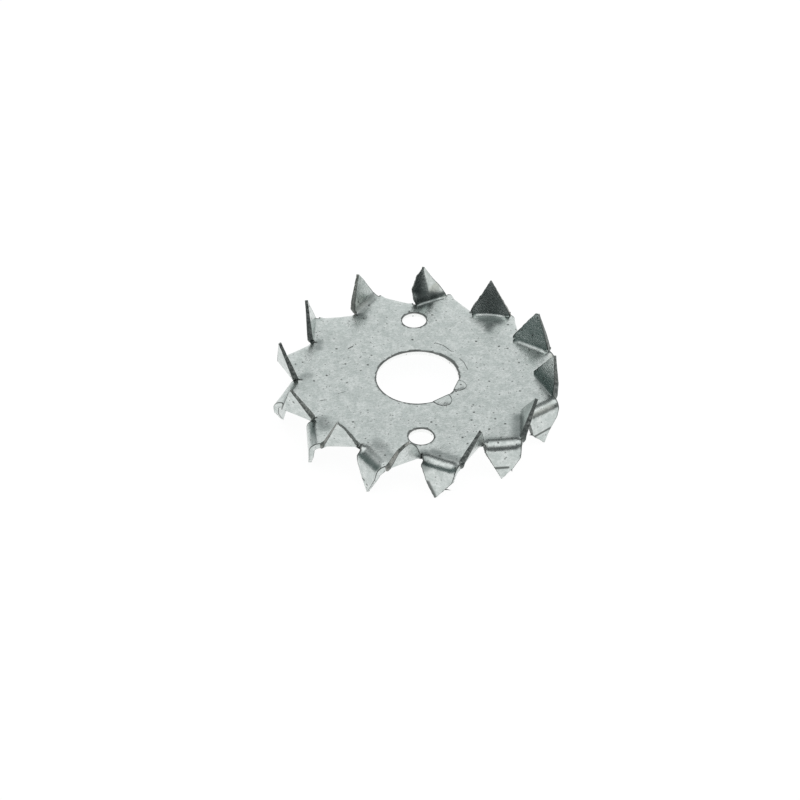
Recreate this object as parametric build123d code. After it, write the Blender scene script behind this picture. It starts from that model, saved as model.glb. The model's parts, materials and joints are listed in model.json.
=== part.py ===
from build123d import *
import math
import os

# A double-sided timber connector: one disc of sheet steel with a bolt hole in the
# middle and a ring of teeth folded up and down at its rim. Two timbers are bolted
# together with the disc between them, and the teeth bite into both.
#
# The blank is a star. Each of its points is slit down the middle, and the two halves
# become a pair of teeth: one is folded up and the other down. A fold line runs from the
# end of a slit to the valley between two points of the star, so the plate that is left
# between the folds is a star as well. In front of each fold the press also sets a
# shallow triangular dart into the plate, towards the side that the tooth is turned to.
#
# The origin is the centre of the bolt hole at the middle of the sheet. Z is the axis of
# the bolt. The slits lie at every 30 degrees from X, and the nail holes lie on Y.

# Sheet and holes, in millimetres
sheet_thickness = 1.0
bore_diameter = 15.0
nail_hole_diameter = 4.5
nail_hole_spacing = 33.0

# Star blank
point_count = 12
slit_root_radius = 21.2
valley_radius = 25.3
slit_width = 0.3

# Teeth
tooth_height = 6.9          # from the middle of the sheet to a tip
bend_inner_radius = 0.6
bend_angle = 80.0           # a right angle less the outward lean of a tooth
tip_distance = 3.7          # along the fold, from the end of the slit
tip_width = 0.4
upper_tooth_inset = 1.1     # how far the outer edge has come in at the end of the bend
lower_tooth_inset = 0.4

# Darts
dart_length = 3.8
dart_depth = 0.7            # at the fold

# Worked out from the sizes above
half_sheet = sheet_thickness / 2
bend_outer_radius = bend_inner_radius + sheet_thickness
bend_middle_radius = bend_inner_radius + half_sheet
bend_turn = math.radians(bend_angle)
bend_drop = bend_middle_radius * (1 - math.cos(bend_turn))
point_pitch = 360 / point_count
half_pitch = math.radians(point_pitch / 2)

# The fold line from the end of the slit on the X axis to the valley beside it
slit_root = Vector(slit_root_radius, 0, 0)
valley = Vector(valley_radius * math.cos(half_pitch), valley_radius * math.sin(half_pitch), 0)
fold_line = valley - slit_root
fold_length = fold_line.length
fold_middle = fold_length / 2
along = fold_line.normalized()
outward = Vector(along.Y, -along.X, 0)
fold_to_slit = math.acos(along.X)


def at(distance, out, height):
    """A point by its place along the fold, its reach beyond the fold and its height."""
    return slit_root + along * distance + outward * out + Vector(0, 0, height)


class FoldSection:
    """The sheet's section across a lower fold, where the dart has pressed it down."""

    def __init__(self, distance, depth):
        slope = math.atan2(depth, dart_length)
        centre_height = half_sheet - depth - bend_outer_radius * math.cos(slope)
        lowering = half_sheet - bend_outer_radius - centre_height
        centre_out = lowering / math.tan(bend_turn)
        self.start_out = centre_out + bend_outer_radius * math.sin(slope)
        inner_slope = math.asin((self.start_out - centre_out) / bend_inner_radius)
        outer = self.arc(distance, centre_out, centre_height, bend_outer_radius, slope)
        inner = self.arc(distance, centre_out, centre_height, bend_inner_radius, inner_slope)
        self.top = outer[0].Z
        self.bottom = inner[0].Z
        ends = [self.run_down(point) for point in (outer[2], inner[2])]
        self.wire = Wire([
            Edge.make_three_point_arc(*outer),
            Edge.make_line(outer[2], ends[0]),
            Edge.make_line(ends[0], ends[1]),
            Edge.make_line(ends[1], inner[2]),
            Edge.make_three_point_arc(*reversed(inner)),
            Edge.make_line(inner[0], outer[0]),
        ])

    def arc(self, distance, centre_out, centre_height, radius, start_turn):
        """Start, middle and end of an arc of the bend."""
        points = []
        for turn in (start_turn, (start_turn + bend_turn) / 2, bend_turn):
            out = centre_out + radius * math.sin(turn)
            points.append(at(distance, out, centre_height + radius * math.cos(turn)))
        return points

    def run_down(self, point):
        """The point carried down the flat of the tooth, to a sheet's thickness past the tips."""
        fall = point.Z + tooth_height + sheet_thickness
        return point + outward * (fall / math.tan(bend_turn)) - Vector(0, 0, fall)


flat_section = FoldSection(0, 0)
dart_section = FoldSection(fold_middle, dart_depth)
last_section = FoldSection(fold_length, 0)


def make_tooth(inset):
    """One lower tooth, beside the slit on the X axis."""
    sections = (flat_section, dart_section, last_section)
    strip = Solid.make_loft([section.wire for section in sections], ruled=True)
    slit_inset = slit_width / 2 / math.sin(fold_to_slit)
    slit_travel = bend_middle_radius * bend_turn / math.tan(fold_to_slit)
    outline = (
        (slit_inset, sheet_thickness),
        (slit_inset, 0),
        (slit_inset + slit_travel, -bend_drop),
        (tip_distance - tip_width / 2, -tooth_height),
        (tip_distance + tip_width / 2, -tooth_height),
        (fold_length - inset, -bend_drop),
        (fold_length, 0),
        (fold_length, sheet_thickness),
    )
    reach = 2 * bend_outer_radius + tooth_height / math.tan(bend_turn)
    face = Face(Wire.make_polygon([at(distance, -reach, height) for distance, height in outline]))
    tooth = strip & extrude(face, amount=2 * reach, dir=outward)
    spread = 2 * (reach + fold_length)
    own_side = Box(spread, spread, spread, align=(Align.CENTER, Align.MIN, Align.CENTER))
    return tooth & Pos(slit_root_radius, slit_width / 2, 0) * own_side


def make_dart(surface, deepest_height):
    """The wedge between a face of the plate and the same face pressed down by a dart."""
    out = dart_section.start_out
    rim = (
        at(fold_middle, out - dart_length, surface),
        at(fold_length, 0, surface),
        at(fold_middle, out, surface),
        at(0, 0, surface),
    )
    deepest = at(fold_middle, out, deepest_height)
    faces = [Face(Wire.make_polygon(rim))]
    for first, second in zip(rim, rim[1:] + rim[:1]):
        faces.append(Face(Wire.make_polygon((first, second, deepest))))
    return Solid(Shell(faces))


def make_plate():
    """The flat star between the folds, without its holes and darts."""
    middle = at(fold_middle, dart_section.start_out, 0)
    mirrored = Vector(middle.X, -middle.Y, 0)
    corners = []
    for index in range(point_count):
        turn = index * point_pitch
        corners += [point.rotate(Axis.Z, turn) for point in (slit_root, middle, valley)]
        corners.append(mirrored.rotate(Axis.Z, turn + point_pitch))
    face = Face(Wire.make_polygon([corner - Vector(0, 0, half_sheet) for corner in corners]))
    return extrude(face, amount=sheet_thickness, dir=(0, 0, 1))


def ring_of(lower, upper):
    """A lower shape, and an upper one turned over about X, at each point of the star."""
    ring = []
    for index in range(point_count):
        ring.append(lower.rotate(Axis.Z, index * point_pitch))
        ring.append(upper.rotate(Axis.X, 180).rotate(Axis.Z, index * point_pitch))
    return ring


def make_connector():
    """The whole connector as one solid."""
    pressed_in = make_dart(half_sheet, dart_section.top)
    pressed_out = make_dart(-half_sheet, dart_section.bottom)
    body = make_plate().cut(*ring_of(pressed_in, pressed_in))
    body = body.fuse(*ring_of(pressed_out, pressed_out))
    body = body.fuse(*ring_of(make_tooth(lower_tooth_inset), make_tooth(upper_tooth_inset)))
    body -= Cylinder(bore_diameter / 2, 2 * sheet_thickness)
    for side in (1, -1):
        place = Pos(0, side * nail_hole_spacing / 2, 0)
        body -= place * Cylinder(nail_hole_diameter / 2, 2 * sheet_thickness)
    return body


connector = make_connector()
os.makedirs("parts", exist_ok=True)
export_step(connector, "parts/timber_connector.step")
print("volume", round(connector.volume, 2), "solids", len(connector.solids()), "faces", len(connector.faces()))
print("size", connector.bounding_box().size)
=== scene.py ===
# %% [markdown]
# A toothed timber connector is stamped from one sheet of zinc-coated steel. This lesson
# dresses it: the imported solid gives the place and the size, and one detailed sheet takes
# the place of its plain look, with torn slit edges, soft folds and a mottled zinc skin.

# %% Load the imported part
import json
import math
import random

import bpy
import numpy as np
from mathutils import Matrix, Vector, noise
from mathutils.geometry import delaunay_2d_cdt


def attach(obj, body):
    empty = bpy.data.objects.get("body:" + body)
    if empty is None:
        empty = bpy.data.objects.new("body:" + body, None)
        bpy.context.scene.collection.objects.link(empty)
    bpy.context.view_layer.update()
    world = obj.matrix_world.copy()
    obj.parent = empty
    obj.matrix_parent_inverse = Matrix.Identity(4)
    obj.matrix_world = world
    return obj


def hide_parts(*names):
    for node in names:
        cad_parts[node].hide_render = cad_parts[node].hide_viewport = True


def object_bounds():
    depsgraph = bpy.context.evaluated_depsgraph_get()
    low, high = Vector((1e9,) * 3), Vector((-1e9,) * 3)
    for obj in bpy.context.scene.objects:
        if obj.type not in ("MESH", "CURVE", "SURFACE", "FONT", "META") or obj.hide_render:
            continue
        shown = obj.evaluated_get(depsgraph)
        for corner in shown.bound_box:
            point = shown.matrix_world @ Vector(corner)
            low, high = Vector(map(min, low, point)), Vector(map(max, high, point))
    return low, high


MM = 0.001


def in_millimetres(box):
    """The numbers of a box's two corners, rounded for printing."""
    return [round(value / MM, 2) for corner in box for value in corner]


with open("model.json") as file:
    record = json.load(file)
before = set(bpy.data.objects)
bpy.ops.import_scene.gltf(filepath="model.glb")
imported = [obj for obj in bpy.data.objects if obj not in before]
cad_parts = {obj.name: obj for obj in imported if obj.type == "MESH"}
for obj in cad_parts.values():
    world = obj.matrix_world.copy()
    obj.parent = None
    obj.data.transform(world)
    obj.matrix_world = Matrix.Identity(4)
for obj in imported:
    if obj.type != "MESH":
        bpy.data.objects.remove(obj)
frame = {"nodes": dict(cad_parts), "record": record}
cad_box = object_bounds()
mounts = {mount["name"]: mount for mount in frame["record"]["mounts"]}
print("nodes", sorted(frame["nodes"]), "box in mm", in_millimetres(cad_box))

# %% [markdown]
# The sizes below are in millimetres, because sheet metal is thought of in millimetres. The
# sheet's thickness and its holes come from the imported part, so they can't drift away from
# it. The star of fold lines is that of the solid, but for four notches that lie a little
# further in. Each fold runs from the end of a slit to the valley between two points.

# %% Sizes of the sheet
SHEET = mounts["bolt_bore"]["dims"]["length_mm"]
BORE = mounts["bolt_bore"]["dims"]["r_mm"]
NAIL_HOLE = mounts["nail_holes"]["dims"]["hole_r_mm"]
NAIL_SPACING = mounts["nail_holes"]["dims"]["spacing_y_mm"]
POINTS = 12
PITCH = 2 * math.pi / POINTS
SLIT_ROOT = 21.2        # from the middle to the end of a slit
VALLEY = 25.3           # and to a valley
print("sheet", SHEET, "bore", BORE, "nail holes", NAIL_HOLE, "at", NAIL_SPACING, "apart")

# %% [markdown]
# No two teeth of a stamped part are quite alike, because the slit tears and the fold
# springs back. So each tooth has its own few numbers. Most start from points that were
# picked in the photograph and put into millimetres through the camera fitted to it,
# and they were then adjusted. The teeth that it doesn't show are guessed. "tip"
# is the tip's place along the fold and its height, "tip_width" its width, and "reach" how
# far out it stands. "early" is how far before the fold the bend starts, and "radius" is
# the bend's. "dart" and "dart_length" are the depth and the length of its dart. "slit" and
# "valley" are the points that its two sides pass, each a place along the fold and a
# height; the slit side starts with a small hook, where the tear has left the line of the
# slit. "edges" says how much of those two sides is broken steel, and "frost" how dull the
# zinc is on the bend. "ridge" is a crease up the face: its place along the fold, and the
# slopes outward on either side of it.

# %% The numbers of each tooth
ALL = {"reach": 2.0, "dart_length": 3.8, "tip_width": 0.12, "ridge": (3.5, 0.0, 0.0)}
UPPER = {
    "tip": (3.6, 6.8),
    "early": 0.9,
    "dart": 0.08,
    "edges": (1.0, 0.6),
    "frost": 1.0,
    "radius": 1.2,
    "slit": [(0.4, 0.35), (0.0, 1.05)],
    "valley": [(6.6, 0.9)],
}
LOWER = {
    "tip": (3.6, 6.84),
    "early": 0.8,
    "dart": 0.1,
    "edges": (1.0, 0.25),
    "frost": 0.6,
    "radius": 1.6,
    "slit": [(0.4, 0.35), (0.3, 1.05)],
    "valley": [(7.0, 0.9), (6.0, 3.8)],
}
OWN = {
    ("upper", 0): {"tip": (3.5, 6.5), "edges": (1.0, 1.0), "valley": [(7.1, 0.9), (6.5, 2.6)]},
    ("upper", 1): {"tip": (3.5, 6.3), "reach": 1.8, "early": 1.6, "dart": 0.0, "tip_width": 0.6,
                   "radius": 1.6, "edges": (1.0, 1.0),
                   "slit": [(0.4, 0.35), (-0.25, 1.0)], "valley": [(7.45, 0.9), (6.0, 3.3)]},
    ("upper", 2): {"tip": (3.6, 6.85), "reach": 1.7, "early": 1.5, "dart": 0.35, "dart_length": 4.0,
                   "slit": [(0.5, 0.3), (0.0, 1.2)], "valley": [(7.5, 0.8)]},
    ("upper", 3): {"tip": (3.1, 6.75), "early": 1.2, "dart": 0.1, "ridge": (2.9, 0.3, 0.42),
                   "slit": [(0.45, 0.3), (0.3, 1.3), (0.35, 2.8), (1.6, 5.2)],
                   "valley": [(6.5, 1.0), (4.4, 4.4)]},
    ("upper", 4): {"reach": 2.2, "early": 0.5, "dart": 0.0, "radius": 1.8, "edges": (0.6, 0.6),
                   "slit": [(0.5, 0.3), (0.3, 1.0), (0.95, 2.7)],
                   "valley": [(6.6, 1.1), (5.3, 3.7), (4.5, 5.4)]},
    ("upper", 5): {"tip": (4.2, 6.95), "reach": 1.9, "early": 0.2, "dart": 0.03},
    ("upper", 6): {"tip": (4.0, 6.95), "early": 0.2},
    ("upper", 7): {"tip": (4.1, 6.5), "early": 0.2},
    ("upper", 8): {"tip": (4.1, 6.8), "reach": 1.5, "early": 1.1,
                   "slit": [(0.45, 0.35), (0.9, 1.1), (1.5, 2.6), (2.7, 5.0)]},
    ("upper", 9): {"tip": (3.6, 6.3), "reach": 2.1, "slit": [(0.45, 0.35), (0.6, 1.1), (2.0, 4.3)],
                   "valley": [(6.6, 0.9), (5.7, 4.4), (4.6, 5.8)]},
    ("upper", 10): {"tip": (3.9, 6.75), "early": 1.1, "edges": (1.0, 0.9)},
    ("upper", 11): {"tip": (3.7, 6.8), "reach": 2.3, "dart": 0.0, "edges": (1.0, 0.9)},
    ("lower", 6): {"reach": 2.2, "early": 0.0, "valley": [(7.2, 0.9), (6.6, 3.0)]},
    ("lower", 7): {"reach": 1.7, "early": 0.1},
    ("lower", 8): {"tip": (4.0, 6.85), "reach": 1.5, "early": 1.1, "radius": 2.2, "frost": 0.8,
                   "slit": [(0.45, 0.35), (0.3, 1.0), (0.94, 2.3), (2.56, 5.1)],
                   "valley": [(6.8, 0.9), (6.3, 2.5), (5.2, 4.7)]},
    ("lower", 9): {"tip": (3.44, 6.86), "early": 0.6, "frost": 0.3,
                   "slit": [(0.45, 0.35), (0.3, 1.0), (1.58, 4.0), (2.28, 5.3)],
                   "valley": [(7.0, 0.9), (6.5, 3.0), (5.4, 4.4)]},
    ("lower", 10): {"tip": (3.4, 6.6), "slit": [(0.45, 0.35), (0.4, 1.0), (0.8, 1.9), (1.85, 3.8)],
                    "valley": [(7.1, 0.9), (6.9, 2.7), (5.6, 4.6)]},
    ("lower", 11): {"tip": (3.44, 6.84), "early": 0.4, "dart": 0.0, "frost": 0.25,
                    "slit": [(0.4, 0.35), (0.1, 1.0), (0.5, 1.9), (0.9, 4.2)],
                    "valley": [(7.1, 1.1), (6.6, 2.6), (4.6, 5.0)]},
}
# By the number of a notch of the star: how much nearer to the middle it is
VALLEY_IN = {1: 0.5, 2: 0.5, 3: 0.5, 4: 0.3}


def numbers_of(side, index):
    """The numbers of one tooth: those of all and of its side, and its own over them."""
    of_side = UPPER if side == "upper" else LOWER
    return {**ALL, **of_side, **OWN.get((side, index), {})}


print("teeth with their own numbers", len(OWN))

# %% [markdown]
# A fold is a straight line on the flat blank. Beside it the press leaves a shallow dart,
# a triangular dimple that points to the middle of the plate. The class below holds one
# fold: it turns a place on the plate into "along the fold" and "inward from it", and it
# knows how deep the dart is there. Every later shape asks a fold where it is.

# %% The folds and their darts
EARLY_RUN = 1.2         # from each end of a fold, its bend comes to its early start over this
DART_CREST = 1.5        # 1 would give a dart a sharp peak along the fold, and 2 a round one
DART_FADE = 1.0         # a dart's soft rim ends this share of its length outside it
SLOPE_STEP = 0.05
RIDGE_RISE = 2.0        # a tooth's crease comes in over this height


def polar(radius, angle):
    """A place on the flat sheet, from the bore's middle."""
    return np.array([radius * math.cos(angle), radius * math.sin(angle), 0.0])


def smoothstep(value):
    """0 below 0, 1 above 1, smooth between them."""
    value = min(1.0, max(0.0, value))
    return value * value * (3 - 2 * value)


def soft_positive(value, softness=0.06):
    """Like max(value, 0), with a rounded corner."""
    return (value + math.sqrt(value * value + softness * softness)) / 2


class Fold:
    """The fold line of one tooth, from the slit to the valley."""

    def __init__(self, side, index):
        self.side = side
        self.index = index
        self.sign = 1 if side == "upper" else -1
        self.numbers = numbers_of(side, index)
        self.slit = polar(SLIT_ROOT, index * PITCH)
        notch = (index - (side == "upper")) % POINTS
        valley = polar(VALLEY - VALLEY_IN.get(notch, 0), (notch + 0.5) * PITCH)
        step = valley - self.slit
        self.length = float(np.linalg.norm(step))
        self.along = step / self.length
        self.out = np.array([self.along[1], -self.along[0], 0.0])
        if self.out @ self.slit < 0:
            self.out = -self.out
        self.early = self.numbers["early"]
        self.dart_depth = self.numbers["dart"]
        self.dart_length = self.numbers["dart_length"]
        self.radius = self.numbers["radius"]
        spread = self.numbers["reach"] + self.early - self.radius
        self.turn = math.pi / 2 - math.atan(spread / (self.numbers["tip"][1] - self.radius))

    def dart(self, along, inward):
        """How far the dart has pushed the sheet towards the tooth's side."""
        rise = 1 - abs(2 * along / self.length - 1) ** DART_CREST - inward / self.dart_length
        return self.dart_depth * soft_positive(rise) if rise > -DART_FADE else 0.0

    def start_in(self, along):
        """How far inside the fold line the bend starts."""
        share = smoothstep(along / EARLY_RUN) * smoothstep((self.length - along) / EARLY_RUN)
        return self.early * share

    def place(self, point):
        """Along the fold and inward from it."""
        step = point - self.slit
        return float(step @ self.along), -float(step @ self.out)

    def slope(self, along):
        """The slope of the dart where the bend starts."""
        return math.atan((self.dart(along, 0.0) - self.dart(along, SLOPE_STEP)) / SLOPE_STEP)

    def height(self, along, start):
        """Height above the flat sheet when the bend is part of the way through."""
        slope = self.slope(along)
        turn = slope + (self.turn - slope) * start
        return self.dart(along, 0.0) + self.radius * (math.cos(slope) - math.cos(turn))

    def bend(self, along, start, height=None):
        """The sheet's middle surface: start 0 to 1 is the bend, and height is past it."""
        slope = self.slope(along)
        turn = slope + (self.turn - slope) * start
        lowering = self.dart(along, 0.0) + self.radius * (math.cos(slope) - 1)
        reach = lowering / math.tan(self.turn) + self.radius * math.sin(turn)
        bent = self.height(along, start)
        if height is None:
            height = bent
        reach += (height - bent) / math.tan(self.turn)
        inside = self.start_in(along)
        reach -= inside + (self.early - inside) * start
        place, before, after = self.numbers["ridge"]
        share = smoothstep((height - bent) / RIDGE_RISE)
        reach += share * (before * max(0.0, place - along) + after * max(0.0, along - place))
        rise = np.array([0.0, 0.0, self.sign * height])
        return self.slit + self.along * along + self.out * reach + rise


folds = [Fold(side, index) for index in range(POINTS) for side in ("lower", "upper")]


def fold_of(side, index):
    """The fold of one tooth."""
    return folds[2 * index + (side == "upper")]


print("folds", len(folds), "the first is", round(folds[0].length, 2), "mm long")

# %% [markdown]
# The middle surface of the sheet comes first, as one mesh with shared corners, and it is
# given its thickness at the end. The flat star is filled with triangles by a Delaunay
# fill, which takes any outline with holes. Its outline points on the folds are kept, so
# that the teeth can start from the very same points.

# %% The outline of the flat star
FOLD_STEPS = 18
BORE_STEPS = 120
NAIL_STEPS = 44


def ring(centre_y, radius, steps):
    """Points round a hole."""
    turns = [2 * math.pi * step / steps for step in range(steps)]
    return [(radius * math.cos(turn), centre_y + radius * math.sin(turn)) for turn in turns]


def star_outline():
    """The points of the star in turn, and the name of each fold point."""
    points = []
    names = []
    for index in range(POINTS):
        after = (index + 1) % POINTS
        lower = fold_of("lower", index)
        upper = fold_of("upper", after)
        for step in range(FOLD_STEPS + 1):
            points.append(lower.bend(lower.length * step / FOLD_STEPS, 0)[:2])
            names.append(("lower", index, step))
        for step in range(FOLD_STEPS - 1, 0, -1):
            points.append(upper.bend(upper.length * step / FOLD_STEPS, 0)[:2])
            names.append(("upper", after, step))
    return points, names


def in_bore(place, margin=0.0):
    """Whether a place is in the bore, or within a margin of its edge."""
    return math.hypot(place[0], place[1]) < BORE + margin


def in_hole(place, margin=0.0):
    """The same for the bore and both nail holes."""
    from_nail = math.hypot(place[0], abs(place[1]) - NAIL_SPACING / 2)
    return in_bore(place, margin) or from_nail < NAIL_HOLE + margin


star_points, star_names = star_outline()
print("points in the star's outline", len(star_points))

# %% [markdown]
# Inside the outline the fill needs points of its own, or its triangles would be long
# slivers that can't show a dart. They lie on a grid, moved about a little so that no rows
# show in the reflections, and they keep clear of the outlines.

# %% The flat star
GRID = 0.55
ROW_SHARE = 0.87        # rows lie this share of the grid apart, for even triangles
JITTER = 0.08
CLEARANCE = 0.55        # as a share of the grid
GRID_SEED = 4
INSIDE_ONLY = 1         # the kind of fill that gives triangles inside the outline
SAME_PLACE = 1e-5


def grid_points(fixed):
    """Points inside the plate, clear of the fixed ones."""
    random.seed(GRID_SEED)
    found = []
    reach = int(VALLEY / GRID) + 1
    for row in range(-reach, reach + 1):
        for column in range(-reach, reach + 1):
            x = (column + 0.5 * (row % 2)) * GRID + random.uniform(-JITTER, JITTER)
            y = row * GRID * ROW_SHARE + random.uniform(-JITTER, JITTER)
            if np.min((fixed[:, 0] - x) ** 2 + (fixed[:, 1] - y) ** 2) > (CLEARANCE * GRID) ** 2:
                found.append((x, y))
    return found


def fill_star(outline, names):
    """The plate's middle surface: its points, its triangles and the fold points' places."""
    loops = [[tuple(point) for point in outline], ring(0, BORE, BORE_STEPS)]
    loops += [ring(side * NAIL_SPACING / 2, NAIL_HOLE, NAIL_STEPS) for side in (1, -1)]
    points = []
    edges = []
    for loop in loops:
        first = len(points)
        points += loop
        edges += [(first + step, first + (step + 1) % len(loop)) for step in range(len(loop))]
    points += grid_points(np.array(points))
    vectors = [Vector(point) for point in points]
    result = delaunay_2d_cdt(vectors, edges, [], INSIDE_ONLY, SAME_PLACE)
    placed, triangles, sources = result[0], result[2], result[3]
    where = {}
    for new, olds in enumerate(sources):
        for old in olds:
            if old < len(names):
                where[names[old]] = new
    kept = []
    for triangle in triangles:
        middle = sum((placed[corner] for corner in triangle), Vector((0, 0))) / len(triangle)
        if not in_hole(middle):
            kept.append(tuple(triangle))
    used = sorted({corner for triangle in kept for corner in triangle})
    renumbered = {old: new for new, old in enumerate(used)}
    faces = [tuple(renumbered[corner] for corner in triangle) for triangle in kept]
    where = {name: renumbered[old] for name, old in where.items()}
    return [np.array([placed[old].x, placed[old].y, 0.0]) for old in used], faces, where


middle_points, middle_faces, fold_points = fill_star(star_points, star_names)
star_face_count = len(middle_faces)
print("star points", len(middle_points), "triangles", star_face_count)

# %% [markdown]
# A stamped plate is never quite flat. The darts push it up and down beside the folds, and
# a slow noise gives it the slight waviness that makes a reflection bend.

# %% The plate's height
WAVE_HEIGHT = 0.03
WAVE_PACE = 0.13
WAVE_START = 3.1
# A dart is felt this far past a fold's ends, outside its line and past the dart's point
PAST_ENDS = 2
PAST_LINE = 0.6
PAST_POINT = 3


def plate_height(point):
    """The darts and a slight waviness of the plate."""
    wave = noise.noise(Vector((point[0] * WAVE_PACE, point[1] * WAVE_PACE, WAVE_START)))
    height = WAVE_HEIGHT * wave
    for fold in folds:
        along, inward = fold.place(point)
        beside = -PAST_ENDS < along < fold.length + PAST_ENDS
        if beside and -PAST_LINE < inward < fold.dart_length + PAST_POINT:
            height += fold.sign * fold.dart(along, max(inward - fold.start_in(along), 0.0))
    return height


for point in middle_points:
    point[2] = plate_height(point)
for (side, index, step), number in fold_points.items():
    fold = fold_of(side, index)
    middle_points[number] = fold.bend(fold.length * step / FOLD_STEPS, 0)
plate_heights = [point[2] for point in middle_points]
print("plate from", round(min(plate_heights), 2), "to", round(max(plate_heights), 2), "mm")

# %% [markdown]
# Each tooth is a grid of four-sided faces that starts on its fold and narrows to the tip.
# A row of the grid has about one height, and the two sides say how wide it is. The slit
# side is a sheared and torn edge, so its line gets a fine, uneven wander.

# %% The teeth
BEND_STEPS = 12
RISE_STEPS = 26
SETTLE_ROUNDS = 4
# The tear's long wave and its short one: how far, how fast, and what sets the teeth apart
TEAR_WAVES = ((0.10, 2.3, 7.7, 5.0), (0.07, 6.1, 3.7, 2.0))
TEAR_FADE = 0.8
# By the number of a point: how much of the edge there is broken, and how dull the bend is
break_share = {}
bend_share = {}


def along_side(points, height):
    """The place of a side at a height, straight between its points."""
    for (u0, h0), (u1, h1) in zip(points, points[1:]):
        if height <= h1:
            return u0 + (u1 - u0) * (height - h0) / (h1 - h0)
    return points[-1][0]


def shared_point(fold, step):
    """The plate's point on a fold. Where two folds share one, it has the lower one's name."""
    if fold.side == "upper" and step == FOLD_STEPS:
        return fold_points["lower", (fold.index - 1) % POINTS, FOLD_STEPS]
    if fold.side == "upper" and step == 0:
        return fold_points["lower", fold.index, 0]
    return fold_points[fold.side, fold.index, step]


def row_height(fold, along, start, share):
    """Height of a row at a place along it: through the bend first, and then to the tip."""
    height = fold.height(along, start)
    return height + (fold.numbers["tip"][1] - height) * share


def tear(fold, height):
    """How far the slit side wanders at a height."""
    wander = 0.0
    for reach, pace, by_index, by_side in TEAR_WAVES:
        place = (height * pace, fold.index * by_index, fold.sign * by_side)
        wander += reach * noise.noise(Vector(place))
    to_tip = fold.numbers["tip"][1] - height
    return wander * smoothstep(height / TEAR_FADE) * smoothstep(to_tip / TEAR_FADE)


def row_ends(fold, lines, start, share):
    """Where a row of the grid meets the tooth's two sides."""
    ends = []
    for line in lines:
        along = line[0][0]
        for _ in range(SETTLE_ROUNDS):
            height = row_height(fold, along, start, share)
            along = along_side(line, height)
        ends.append(along)
    ends[0] += tear(fold, height)
    return ends


def add_tooth(fold):
    """Add one tooth's middle surface to the sheet."""
    numbers = fold.numbers
    tip_place, tip_height = numbers["tip"]
    half_tip = numbers["tip_width"] / 2
    slit_line = [(0.0, 0.0), *numbers["slit"], (tip_place - half_tip, tip_height)]
    valley_line = [(fold.length, 0.0), *numbers["valley"], (tip_place + half_tip, tip_height)]
    last = [shared_point(fold, step) for step in range(FOLD_STEPS + 1)]
    for row in range(1, BEND_STEPS + RISE_STEPS + 1):
        start = min(1.0, row / BEND_STEPS)
        share = max(0, row - BEND_STEPS) / RISE_STEPS
        ends = row_ends(fold, (slit_line, valley_line), start, share)
        current = []
        for step in range(FOLD_STEPS + 1):
            along = ends[0] + (ends[1] - ends[0]) * step / FOLD_STEPS
            number = len(middle_points)
            current.append(number)
            bend_share[number] = 4 * start * (1 - start) * numbers["frost"]
            middle_points.append(fold.bend(along, start, row_height(fold, along, start, share)))
        break_share[current[0]], break_share[current[-1]] = numbers["edges"]
        for step in range(FOLD_STEPS):
            face = (last[step], last[step + 1], current[step + 1], current[step])
            middle_faces.append(face if fold.side == "upper" else face[::-1])
        last = current


for fold in folds:
    add_tooth(fold)
print("middle surface: points", len(middle_points), "faces", len(middle_faces))

# %% [markdown]
# Thickness goes to both sides of the middle surface, so it has to be known which way each
# face looks. The star's faces are turned up, and the teeth's follow their neighbours. A
# point's normal is then the mean of those of its faces, where a large face counts for more.

# %% Which way the faces look
def turn_up(points, faces, count):
    """Turn the first faces, those of the star, to look up."""
    turned = []
    for face in faces[:count]:
        a, b, c = (points[corner] for corner in face)
        turned.append(face[::-1] if np.cross(b - a, c - a)[2] < 0 else face)
    return turned + faces[count:]


def match_winding(faces):
    """Turn the faces to agree with the first, and list the faces on each edge."""
    owners = {}
    for number, face in enumerate(faces):
        for corner, following in zip(face, face[1:] + face[:1]):
            owners.setdefault(frozenset((corner, following)), []).append(number)
    done = [False] * len(faces)
    done[0] = True
    queue = [0]
    while queue:
        number = queue.pop()
        face = faces[number]
        for corner, following in zip(face, face[1:] + face[:1]):
            for other in owners[frozenset((corner, following))]:
                if done[other]:
                    continue
                neighbour = faces[other]
                pairs = zip(neighbour, neighbour[1:] + neighbour[:1])
                if (corner, following) in pairs:
                    faces[other] = neighbour[::-1]
                done[other] = True
                queue.append(other)
    print("faces joined", sum(done), "of", len(faces))
    return faces, owners


def point_normals(points, faces):
    """Normals of the middle surface at its points."""
    normals = np.zeros((len(points), 3))
    for face in faces:
        first = points[face[0]]
        for corner, following in zip(face[1:], face[2:]):
            normal = np.cross(points[corner] - first, points[following] - first)
            for number in (face[0], corner, following):
                normals[number] += normal
    lengths = np.linalg.norm(normals, axis=1)
    return normals / lengths[:, None]


middle_faces = turn_up(middle_points, middle_faces, star_face_count)
middle_faces, edge_owners = match_winding(middle_faces)
middle = np.array(middle_points)
normals = point_normals(middle, middle_faces)
print("upward normals", int((normals[:, 2] > 0).sum()), "of", len(normals))
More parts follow.
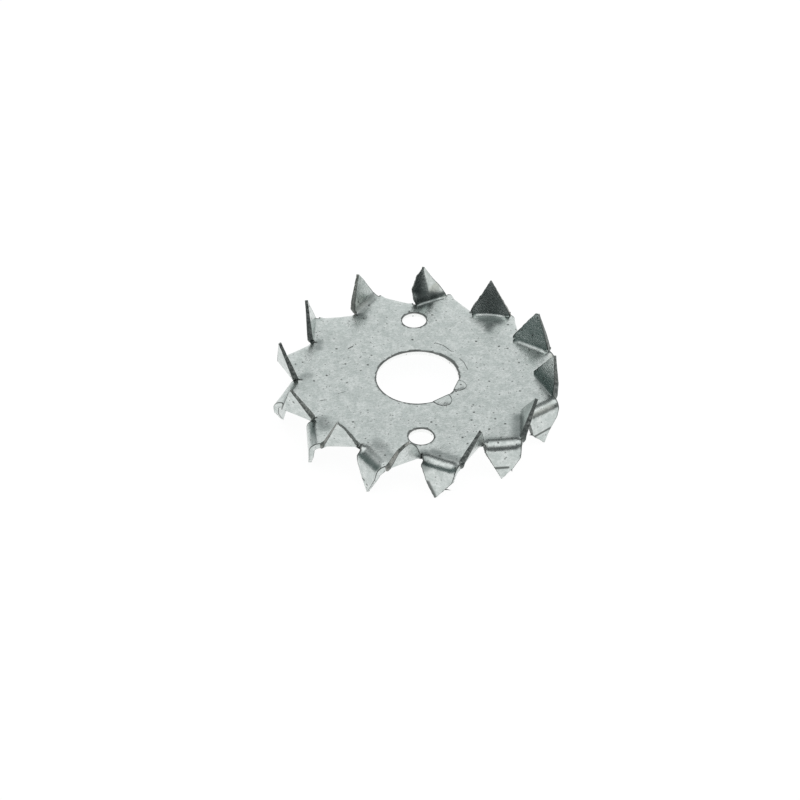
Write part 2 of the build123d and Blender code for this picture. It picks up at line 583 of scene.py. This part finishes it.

# %% [markdown]
# Thickness is added by hand, not with a modifier, because a sheared edge is not a plain
# wall: it has a rough band where the steel broke. The two skins are the middle surface
# moved half a sheet each way along its normals, and less towards the tips, which the
# shears have pinched. Each free edge gets a wall of several rows, and that wall is
# roughened: least in the punched holes, and most on the bore's right, where it tore. Four
# marks are kept on the points: "rim" for the sharp corners, which the zinc darkens with a
# line of painted shade, "cut" for the broken steel of the star's outline, "punched" for
# the bright walls of the holes, and "bend" for zinc that a fold has dulled.

# %% From a surface to a sheet of steel
WALL_SHARES = (0.15, 0.38, 0.62, 0.85)      # the rows of a wall, from skin to skin
WALL_WAVES = ((1.0, 2.1), (0.5, 5.3))       # how far and how fast its roughness goes
EDGE_ROUND = 0.03
TIP_THINNING = 0.42
THINNING_START = 1.0
THINNING_RUN = 5.5
HOLE_MARGIN = 0.3
TORN_FROM, TORN_TO = -50, 76                # degrees round the bore
TORN_WANDER = 0.13
PUNCHED_WANDER = 0.015
SHEARED_WANDER = 0.11
CORNER_BREAKAGE = 0.25                      # at a slit's end and in a notch's corner
SHEET_CREASE = 38                           # a sharper angle, in degrees, stays an edge


def half_thickness(height):
    """Half the sheet's thickness: the shears have pinched the teeth towards their tips."""
    thinning = smoothstep((abs(height) - THINNING_START) / THINNING_RUN)
    return SHEET / 2 * (1 - TIP_THINNING * thinning)


def free_edges(faces, owners):
    """The edges that belong to one face, each in the direction of that face."""
    found = []
    for face in faces:
        for corner, following in zip(face, face[1:] + face[:1]):
            if len(owners[frozenset((corner, following))]) == 1:
                found.append((corner, following))
    return found


def wall_wander(place):
    """How far a wall wanders: a torn one most, a punched hole least."""
    if not in_hole(place, HOLE_MARGIN):
        return SHEARED_WANDER
    turn = math.degrees(math.atan2(place[1], place[0]))
    torn = in_bore(place, HOLE_MARGIN) and TORN_FROM < turn < TORN_TO
    return TORN_WANDER if torn else PUNCHED_WANDER


def thicken(points, point_normal, faces, owners):
    """Two skins and the walls between them, and the marks of each point."""
    count = len(points)
    half = np.array([half_thickness(height) for height in points[:, 2]])[:, None]
    top = points + point_normal * half
    bottom = points - point_normal * half
    rim = free_edges(faces, owners)
    following = dict(rim)
    before = {end: start for start, end in rim}
    solid_points = [*top, *bottom]
    solid_faces = list(faces)
    solid_faces += [tuple(count + corner for corner in reversed(face)) for face in faces]
    marks = {mark: [0.0] * (2 * count) for mark in ("rim", "cut", "punched")}
    walls = {}
    for number in following:
        edge = points[following[number]] - points[before[number]]
        away = np.cross(edge, point_normal[number])
        away /= np.linalg.norm(away)
        hole = in_hole(points[number], HOLE_MARGIN)
        wander = wall_wander(points[number])
        cut = 0.0 if hole else break_share.get(number, CORNER_BREAKAGE)
        punched = 1.0 if hole else 0.0
        for corner in (number, count + number):
            marks["rim"][corner] = 0.0 if hole and corner >= count else 1.0
            marks["cut"][corner] = cut
            marks["punched"][corner] = punched
            solid_points[corner] = solid_points[corner] - away * EDGE_ROUND
        rows = [number]
        for share in WALL_SHARES:
            place = top[number] * (1 - share) + bottom[number] * share
            rough = sum(reach * noise.noise(Vector(place * pace)) for reach, pace in WALL_WAVES)
            rows.append(len(solid_points))
            solid_points.append(place + away * wander * rough)
            marks["rim"].append(1.0 if hole and share == WALL_SHARES[0] else 0.0)
            marks["cut"].append(cut)
            marks["punched"].append(punched)
        rows.append(count + number)
        walls[number] = rows
    for start, end in rim:
        first, second = walls[start], walls[end]
        for row in range(len(first) - 1):
            solid_faces.append((first[row], first[row + 1], second[row + 1], second[row]))
    marks["bend"] = [0.0] * len(solid_points)
    for number, share in bend_share.items():
        marks["bend"][number] = share
        marks["bend"][count + number] = share
    return solid_points, solid_faces, marks


def build_piece(name, points, faces, marks, crease_angle):
    """A mesh object in metres, with a number of each mark on each point."""
    mesh = bpy.data.meshes.new(name)
    mesh.from_pydata([Vector(point) * MM for point in points], [], faces)
    mesh.validate(verbose=True)
    for mark, values in marks.items():
        mesh.attributes.new(mark, "FLOAT", "POINT").data.foreach_set("value", values)
    mesh.shade_smooth()
    mesh.set_sharp_from_angle(angle=math.radians(crease_angle))
    made = bpy.data.objects.new(name, mesh)
    bpy.context.scene.collection.objects.link(made)
    return made


sheet_points, sheet_faces, sheet_marks = thicken(middle, normals, middle_faces, edge_owners)
sheet = build_piece("connector_sheet", sheet_points, sheet_faces, sheet_marks, SHEET_CREASE)
print("sheet mesh: points", len(sheet_points), "faces", len(sheet_faces))

# %% [markdown]
# The punch that made the bore has left two flattened burrs on its rim. A flattened burr is
# a low dome with the outline of half an ellipse, so a stack of copies of that outline makes
# it, smaller at the top. The two lowest are its edge, and carry the mark of a sharp rim, so
# the zinc gives them its dark line of painted shade.

# %% The flattened burrs
UP = np.array([0.0, 0.0, 1.0])
FLAKE_STEPS = 28
FLAKE_OVERLAP = 0.05
FLAKE_BLUNTNESS = 0.8
FLAKE_WAVER = 0.12
FLAKE_PACE = 2.5
# The size of each copy of the outline, its height and its rim mark
FLAKE_RINGS = ((1.0, 0.35, 1.0), (1.0, 0.55, 1.0), (0.78, 0.56, 0.0), (0.5, 0.6, 0.0))
BURR_CREASE = 60


def ring_faces(rings, sides):
    """The faces between rings of points that follow one another."""
    faces = []
    for row in range(rings - 1):
        for side in range(sides):
            first = row * sides + side
            second = row * sides + (side + 1) % sides
            faces.append((first, second, second + sides, first + sides))
    return faces


def build_burr(name, points, faces, rim):
    """A burr, which has no broken and no punched steel."""
    none = [0.0] * len(points)
    return build_piece(name, points, faces, {"rim": rim, "cut": none, "punched": none}, BURR_CREASE)


def add_flake(name, turn, half_width, depth):
    """A flattened burr on the plate beside the bore."""
    outward = polar(1.0, math.radians(turn))
    sideways = np.array([-outward[1], outward[0], 0.0])
    outline = []
    for step in range(FLAKE_STEPS):
        angle = math.pi * step / (FLAKE_STEPS - 1)
        side = half_width * math.cos(angle)
        sag = BORE - math.sqrt(BORE * BORE - side * side)
        place = BORE - FLAKE_OVERLAP - sag + depth * math.sin(angle) ** FLAKE_BLUNTNESS
        place += FLAKE_WAVER * noise.noise(Vector((angle * FLAKE_PACE, turn, 0.0)))
        outline.append(outward * place + sideways * side)
    centre = sum(outline) / FLAKE_STEPS
    points = []
    rim = []
    for scale, height, mark in FLAKE_RINGS:
        for place in outline:
            points.append(centre + (place - centre) * scale + UP * height)
            rim.append(mark)
    faces = ring_faces(len(FLAKE_RINGS), FLAKE_STEPS)
    faces.append(tuple(range(len(points) - FLAKE_STEPS, len(points))))
    faces.append(tuple(reversed(range(FLAKE_STEPS))))
    return build_burr(name, points, faces, rim)


flakes = [add_flake("bore_burr_1", -57.0, 1.75, 2.2), add_flake("bore_burr_2", -20.5, 1.45, 1.8)]
print("flattened burrs", len(flakes))

# %% [markdown]
# The shears have left hair-thin burrs on some teeth. A hair burr is a slim cone that curls
# a little, so it is made of rings that shrink along a curve and end in one point.

# %% The hair burrs
HAIR_RINGS = 6
HAIR_SIDES = 6
HAIR_CURL = 0.35
# The rim mark of a hair burr, which darkens it all over with painted edge shade
HAIR_RIM = 0.7
HAIR_INSET = 0.15
# Where each starts (tooth, side and height), its direction, length, width and curl upward
HAIRS = [
    ("lower", 9, "valley", 4.75, (1.0, -0.3, 0.15), 1.3, 0.3, -0.4),
    ("lower", 10, "valley", 4.8, (0.1, -0.6, -0.6), 0.8, 0.4, 0.6),
    ("lower", 11, "slit", 4.3, (-1.0, -0.3, 0.1), 0.7, 0.35, 0.5),
    ("upper", 5, "valley", 6.2, (0.6, -0.5, -0.7), 0.9, 0.35, -0.4),
]


def on_side(side, index, line, height):
    """A place on a tooth, just inside its slit side or its valley side."""
    fold = fold_of(side, index)
    start = 0.0 if line == "slit" else fold.length
    along = along_side([(start, 0.0), *fold.numbers[line], fold.numbers["tip"]], height)
    inset = HAIR_INSET if line == "slit" else -HAIR_INSET
    return fold.bend(along + inset, 1, height)


def add_hair(name, start, direction, length, width, curl):
    """A hair-thin burr: a slim cone that curls towards curl."""
    direction = direction / np.linalg.norm(direction)
    across = np.cross(direction, curl)
    across /= np.linalg.norm(across)
    level = np.cross(across, direction)
    points = []
    for row in range(HAIR_RINGS):
        share = row / HAIR_RINGS
        centre = start + direction * length * share + curl * length * HAIR_CURL * share * share
        radius = width / 2 * (1 - share)
        for side in range(HAIR_SIDES):
            angle = 2 * math.pi * side / HAIR_SIDES
            points.append(centre + (across * math.cos(angle) + level * math.sin(angle)) * radius)
    points.append(start + direction * length + curl * length * HAIR_CURL)
    faces = [tuple(reversed(range(HAIR_SIDES))), *ring_faces(HAIR_RINGS, HAIR_SIDES)]
    last = (HAIR_RINGS - 1) * HAIR_SIDES
    for side in range(HAIR_SIDES):
        faces.append((last + side, last + (side + 1) % HAIR_SIDES, len(points) - 1))
    return build_burr(name, points, faces, [HAIR_RIM] * len(points))


hairs = []
for number, (side, index, line, height, direction, length, width, curl) in enumerate(HAIRS, 1):
    start = on_side(side, index, line, height)
    hairs.append(add_hair(f"tooth_burr_{number}", start, np.array(direction), length, width, UP * curl))
print("hair burrs", len(hairs))

# %% [markdown]
# The shader maths reads as plain sums. One small class wraps a socket, and its operators
# add Math nodes, so that a mask can be written as an expression. A second class holds a
# node tree, and makes any other node from its type, its settings and its sockets' values.

# %% Sockets that can be added and multiplied
class Wire:
    """A socket whose operators add Math nodes."""

    def __init__(self, shader, socket):
        self.shader = shader
        self.socket = socket

    def math(self, operation, *others):
        """A Math node of this socket and others."""
        return self.shader.math(operation, self, *others)

    def __add__(self, other):
        return self.math("ADD", other)

    def __mul__(self, other):
        return self.math("MULTIPLY", other)

    def __sub__(self, other):
        return self.math("SUBTRACT", other)

    def __rsub__(self, other):
        return self.shader.math("SUBTRACT", other, self)

    def __truediv__(self, other):
        return self.math("DIVIDE", other)

    def step(self, low, high):
        """0 below low, 1 above high, smooth between them."""
        settings = {"interpolation_type": "SMOOTHSTEP"}
        values = {"Value": self, "From Min": low, "From Max": high}
        return self.shader.node("ShaderNodeMapRange", settings, values)

    __radd__ = __add__
    __rmul__ = __mul__


class Shader:
    """A node tree, with one method that makes any node."""

    def __init__(self, tree):
        self.tree = tree
        self.tree.nodes.clear()

    def node(self, kind, settings=None, values=None, output=0):
        """A node and one of its outputs, by name or by number."""
        made = self.tree.nodes.new(kind)
        for name, setting in (settings or {}).items():
            setattr(made, name, setting)
        for name, value in (values or {}).items():
            socket = made.inputs[name]
            if isinstance(value, Wire):
                self.tree.links.new(value.socket, socket)
            else:
                socket.default_value = value
        return Wire(self, made.outputs[output])

    def math(self, operation, *values):
        """A Math node."""
        return self.node("ShaderNodeMath", {"operation": operation}, dict(enumerate(values)))

    def vector(self, operation, values, output="Vector"):
        """A Vector Math node."""
        return self.node("ShaderNodeVectorMath", {"operation": operation}, values, output)

    def mix(self, share, first, second):
        """A colour between two others. Sockets 6 and 7 are a Mix node's colours."""
        values = {0: share, 6: first, 7: second}
        return self.node("ShaderNodeMix", {"data_type": "RGBA"}, values, output=2)

    def distance_to(self, place, start, end):
        """Distance from a place to a straight line between two points."""
        run = end - start
        step = self.vector("SUBTRACT", {0: place, 1: tuple(start)})
        share = self.vector("DOT_PRODUCT", {0: step, 1: tuple(run / run.length_squared)}, "Value")
        share = share.math("MAXIMUM", 0.0).math("MINIMUM", 1.0)
        near = self.vector("SCALE", {0: tuple(run), "Scale": share})
        return self.vector("DISTANCE", {0: step, 1: near}, "Value")

    def finish(self, kind, surface):
        """Send the surface to the tree's output."""
        output = self.tree.nodes.new(kind)
        self.tree.links.new(surface.socket, output.inputs["Surface"])


def new_material(name):
    """An empty material and its shader."""
    material = bpy.data.materials.new(name)
    material.use_nodes = True
    return material, Shader(material.node_tree)


print("a socket can now take + - * and /")

# %% [markdown]
# A used connector is scratched, and two of its teeth are creased. Each scratch and crease
# is a straight dark line with soft sides in the material, with two ends and a width; the
# dark line of a crease is painted crease shade, and one line on a tooth draws its dark
# broken edge. Soft zones of painted dark reflection lie beside the folds and on some teeth,
# and two of them dim fold highlights; each is a line too, with a strength. A place on a
# tooth is asked of its fold, so that a mark stays on the skin if the tooth's numbers
# change. The ends of the scratches on the plate were picked in the photograph, as the
# points of the teeth were.

# %% The scratches, creases and painted dark reflections
PLATE_TOP = SHEET / 2
# How dark the scratches and the painted crease shade are, and how much of their width is full
SCRATCH_AND_CREASE_STRENGTH = 0.85
SCRATCH_AND_CREASE_CORE = 0.3
# The share of a painted dark reflection's width that is full
PAINTED_REFLECTION_CORE = 0.15


def on_plate(x, y):
    """A place on the plate."""
    return x, y, PLATE_TOP


def beside_fold(side, index, along, inward):
    """A place on the plate beside a fold."""
    fold = fold_of(side, index)
    return fold.slit + fold.along * along - fold.out * inward + UP * PLATE_TOP


def outer_skin(side, index, along, height, way=1):
    """A place on the outer skin of a tooth, or with way -1 on its inner skin."""
    fold = fold_of(side, index)
    return fold.bend(along, 1, height) + way * fold.out * half_thickness(height)


def inner_skin(side, index, along, height):
    """A place on the inner skin of a tooth."""
    return outer_skin(side, index, along, height, way=-1)


# Scratches on the plate, and dark lines on the teeth
SCRATCHES_AND_CREASE_SHADE = [
    (on_plate(-12.35, 8.58), on_plate(-11.6, 9.15), 0.2),
    (on_plate(3.65, 9.67), on_plate(5.1, 8.8), 0.13),
    (on_plate(5.1, 8.8), on_plate(6.5, 7.0), 0.13),
    (on_plate(7.9, 4.95), on_plate(8.6, 3.8), 0.1),
    (on_plate(8.6, 3.8), on_plate(9.2, 1.75), 0.1),
    (on_plate(4.3, 6.45), on_plate(5.5, 5.5), 0.4),
    (on_plate(5.7, 5.2), on_plate(6.7, 4.0), 0.5),
    (on_plate(6.8, 3.8), on_plate(7.4, 2.4), 0.35),
    (on_plate(-17.8, -6.1), on_plate(-16.9, -5.85), 0.12),
    (on_plate(-14.5, -4.2), on_plate(-13.2, -3.7), 0.09),
    # On the teeth: the dark line of a crease is painted crease shade, and one line draws a broken edge
    (outer_skin("lower", 8, 1.5, 4.75), outer_skin("lower", 8, 3.1, 4.8), 0.26),
    (outer_skin("lower", 9, 1.85, 4.2), outer_skin("lower", 9, 3.35, 6.7), 0.85),
    (outer_skin("lower", 10, 2.1, 4.35), outer_skin("lower", 10, 4.6, 4.35), 0.36),
    (outer_skin("lower", 11, 0.9, 4.6), outer_skin("lower", 11, 4.9, 4.3), 0.34),
]
# Soft zones of painted dark reflection beside the folds and on the teeth
PAINTED_DARK_REFLECTIONS = [
    (inner_skin("upper", 2, 3.7, 1.5), inner_skin("upper", 2, 3.7, 5.6), 3.2, 0.5),
    (beside_fold("upper", 2, 2.2, 2.1), beside_fold("upper", 2, 5.2, 2.1), 1.7, 0.6),
    (beside_fold("upper", 2, 3.7, 2.0), beside_fold("upper", 2, 3.7, 4.8), 1.4, 0.5),
    (inner_skin("upper", 3, 0.9, 2.0), inner_skin("upper", 3, 2.0, 6.2), 1.4, 0.75),
    (inner_skin("upper", 3, 1.0, 1.2), inner_skin("upper", 3, 4.2, 1.0), 1.1, 0.75),
    (beside_fold("upper", 3, 0.9, 1.2), beside_fold("upper", 3, 2.4, 1.4), 1.5, 0.65),
    (inner_skin("upper", 4, 1.0, 1.0), inner_skin("upper", 4, 5.8, 0.9), 1.3, 0.5),
    (beside_fold("upper", 4, 0.3, 0.6), beside_fold("upper", 4, 0.3, 1.6), 1.2, 0.4),
    (beside_fold("upper", 5, 0.1, 0.6), beside_fold("lower", 5, 0.6, 1.6), 1.3, 0.5),
    (beside_fold("upper", 6, 0.4, 0.6), beside_fold("upper", 6, 0.4, 1.8), 1.5, 0.4),
    (beside_fold("lower", 7, 0.8, 0.9), beside_fold("lower", 7, 2.6, 1.1), 1.9, 0.45),
    (beside_fold("lower", 8, 1.2, 2.6), beside_fold("lower", 8, 6.0, 2.2), 1.9, 0.35),
    (beside_fold("lower", 9, 1.6, 1.3), beside_fold("lower", 9, 6.4, 1.2), 1.4, 0.5),
    # These two are painted shade that dims the fold highlights of two lower teeth
    (beside_fold("lower", 9, 0.2, 0.2), outer_skin("lower", 9, 1.0, 1.0), 1.7, 0.6),
    (beside_fold("lower", 10, 0.6, 0.3), beside_fold("lower", 10, 6.6, 0.3), 1.2, 0.3),
    (beside_fold("upper", 11, 1.6, 0.6), beside_fold("upper", 11, 6.2, 0.6), 2.1, 0.65),
    (inner_skin("upper", 11, 1.5, 1.4), inner_skin("upper", 11, 6.0, 1.2), 1.7, 0.6),
    (inner_skin("upper", 11, 2.4, 3.0), inner_skin("upper", 11, 3.6, 6.0), 1.8, 0.35),
    (beside_fold("upper", 0, 2.0, 0.5), beside_fold("upper", 0, 6.6, 0.5), 1.1, 0.4),
]


def soft_lines(shader, place, lines, core):
    """A mask of lines: each is full within its core, and gone at its width."""
    mask = 0.0
    for start, end, width, strength in lines:
        away = shader.distance_to(place, Vector(start) * MM, Vector(end) * MM)
        line = (1.0 - away.step(core * width * MM, width * MM)) * strength
        mask = line.math("MAXIMUM", mask)
    return mask


print("scratches_and_crease_shade", len(SCRATCHES_AND_CREASE_SHADE), "painted_reflections", len(PAINTED_DARK_REFLECTIONS))

# %% [markdown]
# Zinc coating is a grey metal with a slightly green cast. It is mottled, dotted with tiny
# dark specks and finer flecks, and rougher in some places than in others. Noise textures
# give the mottling and a fine grain, and the cells of two Voronoi textures the dots. A
# sharp corner gets a dark line of painted shade. Broken steel is dark in the torn slits and
# paler in the notches, and a punched wall is bright. The creases' dark lines are painted
# shade too, and the dark zones beside the folds are painted dark reflections.

# %% The zinc
# How many waves or dots a metre has, and how detailed each noise is
GRAIN = (2300.0, 2.0)
MOTTLE = (800.0, 4.0)
CLOUD = (160.0, 3.0)
SPECKS = 520.0
FLECKS = 1150.0
# Where each mask starts and where it is full
SPECK_SIZE = (0.06, 0.16)
SPECK_CLOUDS = (0.38, 0.5)
FLECK_SIZE = (0.12, 0.24)
FLECK_MOTTLE = (0.42, 0.6)
# The painted shade along sharp corners
EDGE_SHADE_WIDTH = (0.25, 0.8)
PUNCHED_WALL = (0.9, 1.0)
BROKEN_WALL = (0.3, 0.48)
NOTCH_TO_SLIT = (0.6, 0.9)
MOTTLE_SPREAD = (0.3, 0.7)
GRAIN_SPREAD = (0.35, 0.7)
GRIT_SPREAD = (0.35, 0.65)
# The colours of the metal, the darker and the lighter one where there are two
SHADED_ZINC = (0.545, 0.595, 0.578, 1)
LIGHT_ZINC = (0.705, 0.745, 0.73, 1)
GRAINY_ZINC = (0.40, 0.44, 0.42, 1)
TORN_STEEL = ((0.06, 0.07, 0.068, 1), (0.24, 0.26, 0.25, 1))
NOTCHED_STEEL = ((0.26, 0.26, 0.24, 1), (0.46, 0.46, 0.43, 1))
PUNCHED_STEEL = (0.97, 0.98, 0.97, 1)
# The colour of the painted dark reflections
PAINTED_REFLECTION_COLOUR = (0.10, 0.125, 0.122, 1)
# The colour of dirt and scratches, and of the painted shade along sharp corners and in creases
DIRT_AND_SHADE_ZINC = (0.10, 0.11, 0.105, 1)
# How strongly each shows
GRAIN_SHARE = 0.4
BROKEN_SHARE = 0.85
SPECK_SHARE = 0.85
FLECK_SHARE = 0.6
# The painted shade along sharp corners: its strength, and how much the mottling adds
EDGE_SHADE_SHARE = 0.65
EDGE_SHADE_MOTTLE = 0.5
# What makes the metal rough
ROUGHNESS = 0.15
CLOUD_ROUGHNESS = 0.1
GRAIN_ROUGHNESS = 0.1
BROKEN_ROUGHNESS = 0.25
DIRT_AND_SHADE_ROUGHNESS = 0.2
BEND_ROUGHNESS = 0.17
BUMP = 0.18
BUMP_HEIGHT = 0.0001


def make_zinc():
    """The zinc coating, with its wear, painted shade and painted dark reflections."""
    material, shader = new_material("zinc_coating")
    place = shader.node("ShaderNodeTexCoord", output="Object")
    grain, mottle, cloud = (
        shader.node("ShaderNodeTexNoise", {}, {"Vector": place, "Scale": scale, "Detail": detail})
        for scale, detail in (GRAIN, MOTTLE, CLOUD)
    )
    dots, fine_dots = (
        shader.node("ShaderNodeTexVoronoi", {"feature": "F1"}, {"Vector": place, "Scale": scale})
        for scale in (SPECKS, FLECKS)
    )
    fleck = (1.0 - fine_dots.step(*FLECK_SIZE)) * mottle.step(*FLECK_MOTTLE)
    speck = (1.0 - dots.step(*SPECK_SIZE)) * cloud.step(*SPECK_CLOUDS)
    rim, cut, punched, bend = (
        shader.node("ShaderNodeAttribute", {"attribute_name": mark}, output="Fac")
        for mark in ("rim", "cut", "punched", "bend")
    )
    # A dark line of painted shade along each sharp corner
    corner = rim.step(*EDGE_SHADE_WIDTH)
    broken = cut.step(*BROKEN_WALL) * (1.0 - corner)

    zinc_colour = shader.mix(mottle.step(*MOTTLE_SPREAD), SHADED_ZINC, LIGHT_ZINC)
    base = shader.mix(grain.step(*GRAIN_SPREAD) * GRAIN_SHARE, zinc_colour, GRAINY_ZINC)
    torn = shader.mix(grain.step(*GRIT_SPREAD), *TORN_STEEL)
    notched = shader.mix(grain.step(*GRIT_SPREAD), *NOTCHED_STEEL)
    broken_steel = shader.mix(cut.step(*NOTCH_TO_SLIT), notched, torn)
    base = shader.mix(broken * BROKEN_SHARE, base, broken_steel)
    base = shader.mix(punched.step(*PUNCHED_WALL), base, PUNCHED_STEEL)
    # Painted dark reflections, two of which dim fold highlights
    base = shader.mix(soft_lines(shader, place, PAINTED_DARK_REFLECTIONS, PAINTED_REFLECTION_CORE), base, PAINTED_REFLECTION_COLOUR)
    # Specks, flecks and scratches are dirt and wear; the crease lines and the line along sharp corners
    # are painted shade
    scratches_and_crease_shade = [(*drawn_line, SCRATCH_AND_CREASE_STRENGTH) for drawn_line in SCRATCHES_AND_CREASE_SHADE]
    dirt_and_shade = (speck * SPECK_SHARE).math("MAXIMUM", fleck * FLECK_SHARE)
    dirt_and_shade = dirt_and_shade.math("MAXIMUM", soft_lines(shader, place, scratches_and_crease_shade, SCRATCH_AND_CREASE_CORE))
    # The painted shade along sharp corners
    dirt_and_shade = dirt_and_shade.math("MAXIMUM", corner * (EDGE_SHADE_SHARE + EDGE_SHADE_MOTTLE * mottle))
    base = shader.mix(dirt_and_shade.math("MINIMUM", 1.0), base, DIRT_AND_SHADE_ZINC)
    rough = ROUGHNESS + CLOUD_ROUGHNESS * cloud + GRAIN_ROUGHNESS * grain
    rough = rough + BROKEN_ROUGHNESS * broken + DIRT_AND_SHADE_ROUGHNESS * dirt_and_shade + BEND_ROUGHNESS * bend
    bump_values = {"Strength": BUMP, "Distance": BUMP_HEIGHT, "Height": grain}
    bump = shader.node("ShaderNodeBump", {}, bump_values)
    values = {"Base Color": base, "Metallic": 1.0, "Roughness": rough, "Normal": bump}
    shader.finish("ShaderNodeOutputMaterial", shader.node("ShaderNodeBsdfPrincipled", {}, values))
    return material


zinc = make_zinc()
for piece in (sheet, *flakes, *hairs):
    piece.data.materials.append(zinc)
    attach(piece, "root")
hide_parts("timber_connector")
print("nodes in the zinc", len(zinc.node_tree.nodes))

# %% [markdown]
# The floor is white, and it keeps a faint shadow. The camera sees it as pure white, and so
# do the metal's reflections.

# %% The floor
HALF_FLOOR = 0.9
WHITE_SHARE = 0.85
WHITE_STRENGTH = 1.1


def make_floor():
    """White as seen and as mirrored, with a little real shading under it."""
    material, shader = new_material("white_floor")
    seen = shader.node("ShaderNodeLightPath", output="Is Camera Ray")
    mirrored = shader.node("ShaderNodeLightPath", output="Is Glossy Ray")
    white = {"Color": (1, 1, 1, 1), "Strength": WHITE_STRENGTH}
    glow = shader.node("ShaderNodeEmission", {}, white)
    matt = shader.node("ShaderNodeBsdfDiffuse", {}, {"Color": (0.9, 0.9, 0.9, 1)})
    share = (seen + mirrored).math("MINIMUM", 1.0) * WHITE_SHARE
    both = shader.node("ShaderNodeMixShader", {}, {0: share, 1: matt, 2: glow})
    shader.finish("ShaderNodeOutputMaterial", both)
    return material


floor_z = cad_box[0].z
floor_mesh = bpy.data.meshes.new("floor")
corners = [(HALF_FLOOR * x, HALF_FLOOR * y, floor_z) for x, y in ((-1, -1), (1, -1), (1, 1), (-1, 1))]
floor_mesh.from_pydata(corners, [], [(0, 1, 2, 3)])
floor_mesh.materials.append(make_floor())
floor = bpy.data.objects.new("floor", floor_mesh)
bpy.context.scene.collection.objects.link(floor)
print("floor at", round(floor_z / MM, 2), "mm")

# %% [markdown]
# Bare metal has hardly a colour of its own: it shows what stands round it. So the light is
# a room. Its far wall and its right wall are bright up to some 45 degrees, its left wall is
# a dull green-grey, and the side behind the camera is dark. Overhead hangs a wide bright
# panel, with a dark ring round it. Each part is a mask made from a direction, and each
# pair below says between which values of its X, Y or Z the mask changes.

# %% The room
WALL_TOP = (0.71, 0.79)
FAR_WALL_NEAR = (0.05, 0.3)
FAR_WALL_LEFT = (-0.72, -0.6)
RIGHT_WALL = (0.62, 0.74)
RIGHT_WALL_NEAR = (-0.45, -0.2)
LEFT_WALL = (-0.6, -0.3)
# The panel's edges, as places on a ceiling that are counted in the ceiling's heights
PANEL_SIDES = (0.75, 1.0)
PANEL_NEAR = (-1.0, -0.8)
PANEL_FAR = (0.05, 0.25)
ABOVE_FLOOR = (0.05, 0.2)
LEAST_HEIGHT = 0.05
# The colours of the room
DARK_SIDE = (0.08, 0.09, 0.09, 1)
LEFT_COLOUR = (0.09, 0.125, 0.12, 1)
RIGHT_COLOUR = (0.9, 0.88, 0.84, 1)
FAR_COLOUR = (0.95, 0.96, 0.96, 1)
PANEL_COLOUR = (1.35, 1.35, 1.35, 1)


def make_room():
    """The world as a room of bright and dark parts."""
    world = bpy.data.worlds.new("studio")
    bpy.context.scene.world = world
    world.use_nodes = True
    shader = Shader(world.node_tree)
    direction = shader.node("ShaderNodeTexCoord", output="Generated")
    x, y, z = (
        shader.node("ShaderNodeSeparateXYZ", {}, {"Vector": direction}, axis)
        for axis in "XYZ"
    )

    low = 1.0 - z.step(*WALL_TOP)
    far_wall = low * y.step(*FAR_WALL_NEAR) * x.step(*FAR_WALL_LEFT)
    right_wall = low * x.step(*RIGHT_WALL) * y.step(*RIGHT_WALL_NEAR)
    left_wall = low * (1.0 - x.step(*LEFT_WALL))
    height = z.math("MAXIMUM", LEAST_HEIGHT)
    panel = z.step(*ABOVE_FLOOR) * (1.0 - (x / height).math("ABSOLUTE").step(*PANEL_SIDES))
    panel = panel * (y / height).step(*PANEL_NEAR) * (1.0 - (y / height).step(*PANEL_FAR))

    colour = shader.mix(left_wall, DARK_SIDE, LEFT_COLOUR)
    colour = shader.mix(right_wall, colour, RIGHT_COLOUR)
    colour = shader.mix(far_wall, colour, FAR_COLOUR)
    colour = shader.mix(panel, colour, PANEL_COLOUR)
    shader.finish("ShaderNodeOutputWorld", shader.node("ShaderNodeBackground", {}, {"Color": colour}))
    return world


room = make_room()
bpy.context.scene.view_settings.view_transform = "Standard"
print("nodes in the room", len(room.node_tree.nodes))

# %% [markdown]
# The camera stands where the photographer stood: some 54 cm away and 40 degrees above the
# plate, with a long lens. Its numbers come from a fit to the places of the holes and the
# tooth tips in the photograph, so they are only as good as those, and as the plate's size.

# %% The camera
LENS = 133.6
SENSOR = 36.0
CAMERA_PLACE = Vector((-15.9, -413.93, 344.33)) * MM
CAMERA_AIM = Vector((-3.28, -2.35, -2.93)) * MM
CAMERA_ROLL = math.radians(-0.28)


def make_camera():
    """The photographer's camera."""
    data = bpy.data.cameras.new("camera")
    data.lens = LENS
    data.sensor_width = SENSOR
    camera = bpy.data.objects.new("camera", data)
    bpy.context.scene.collection.objects.link(camera)
    back = (CAMERA_PLACE - CAMERA_AIM).normalized()
    turned = back.to_track_quat("Z", "Y").to_matrix()
    roll = Matrix.Rotation(CAMERA_ROLL, 3, "Z")
    camera.matrix_world = Matrix.Translation(CAMERA_PLACE) @ (turned @ roll).to_4x4()
    bpy.context.scene.camera = camera


make_camera()
print("camera to aim in mm", round((CAMERA_PLACE - CAMERA_AIM).length / MM, 1))
